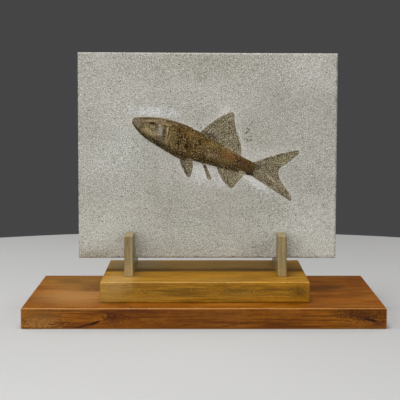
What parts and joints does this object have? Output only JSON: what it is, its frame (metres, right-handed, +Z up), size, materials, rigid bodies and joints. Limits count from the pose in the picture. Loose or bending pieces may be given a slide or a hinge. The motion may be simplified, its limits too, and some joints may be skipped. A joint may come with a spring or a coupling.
{
  "type": "fossil fish slab on a wooden stand",
  "caption": "Pale limestone slab with a fossil fish in low relief on its face, held upright in slotted brackets on a stepped wooden stand.",
  "frame": {"origin": "middle of the base board's underside", "axes": "+X along the slab's length, towards the fish's tail; +Y from the fish's face of the slab towards its back; +Z up"},
  "size_m": [0.3386, 0.195, 0.2558],
  "materials": {
    "base_wood": "reddish brown hardwood with fine straight grain, satin varnish",
    "riser_wood": "golden brown hardwood with fine straight grain, satin varnish",
    "bracket_wood": "pale olive-tan hardwood with upright grain, satin varnish",
    "limestone": "pale grey-buff limestone, finely stippled and matt",
    "fossil": "dark brown mineralised bone and scales, dull"
  },
  "bodies": {
    "root": {"base_board": "base_wood", "riser_board": "riser_wood", "left_bracket": "bracket_wood", "right_bracket": "bracket_wood", "stone_slab": "limestone", "fossil_fish": "fossil"}
  },
  "joints": []
}
